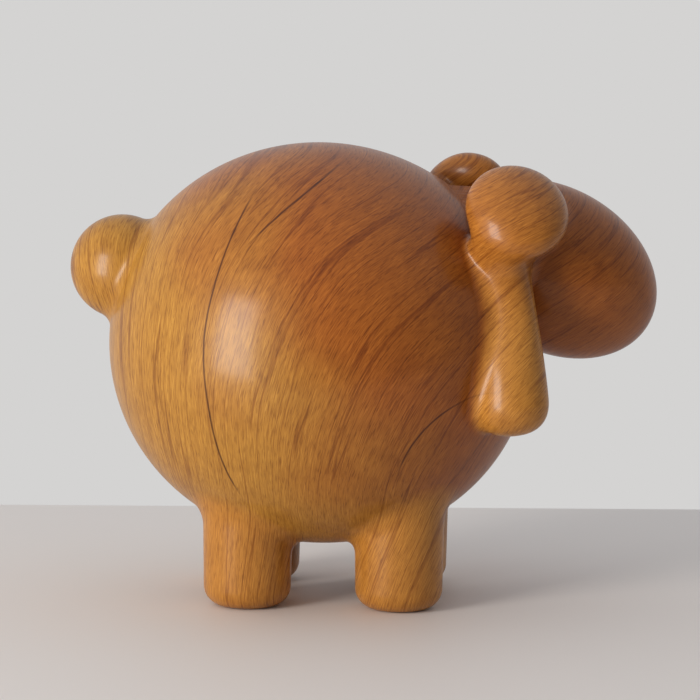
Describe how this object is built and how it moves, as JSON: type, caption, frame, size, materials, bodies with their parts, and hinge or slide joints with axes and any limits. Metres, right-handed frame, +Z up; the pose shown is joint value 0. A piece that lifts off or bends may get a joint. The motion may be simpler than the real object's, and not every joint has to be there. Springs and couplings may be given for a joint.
{
  "type": "sheep figurine",
  "caption": "Smooth wooden sheep figurine with a ball body, an egg-shaped head turned aside, hanging drop ears, a knob tail and short rounded peg legs.",
  "frame": {"origin": "middle of the figure's bounding box, on the table under its feet", "axes": "+X towards the head, +Y to the sheep's left, +Z up"},
  "size_m": [0.1804, 0.1244, 0.1398],
  "materials": {
    "lacquered_wood": "golden brown wood with flowing grain under a satin clear lacquer",
    "dowel_wood": "plain pale dowel rod, unfinished, hidden in its bores"
  },
  "bodies": {
    "root": {"body": "lacquered_wood", "head": "lacquered_wood", "tail": "lacquered_wood", "left_ear": "lacquered_wood", "right_ear": "lacquered_wood", "front_left_leg": "lacquered_wood", "front_right_leg": "lacquered_wood", "rear_left_leg": "lacquered_wood", "rear_right_leg": "lacquered_wood", "head_dowel": "dowel_wood", "tail_dowel": "dowel_wood", "left_ear_dowel": "dowel_wood", "right_ear_dowel": "dowel_wood", "front_left_leg_dowel": "dowel_wood", "front_right_leg_dowel": "dowel_wood", "rear_left_leg_dowel": "dowel_wood", "rear_right_leg_dowel": "dowel_wood"}
  },
  "joints": []
}
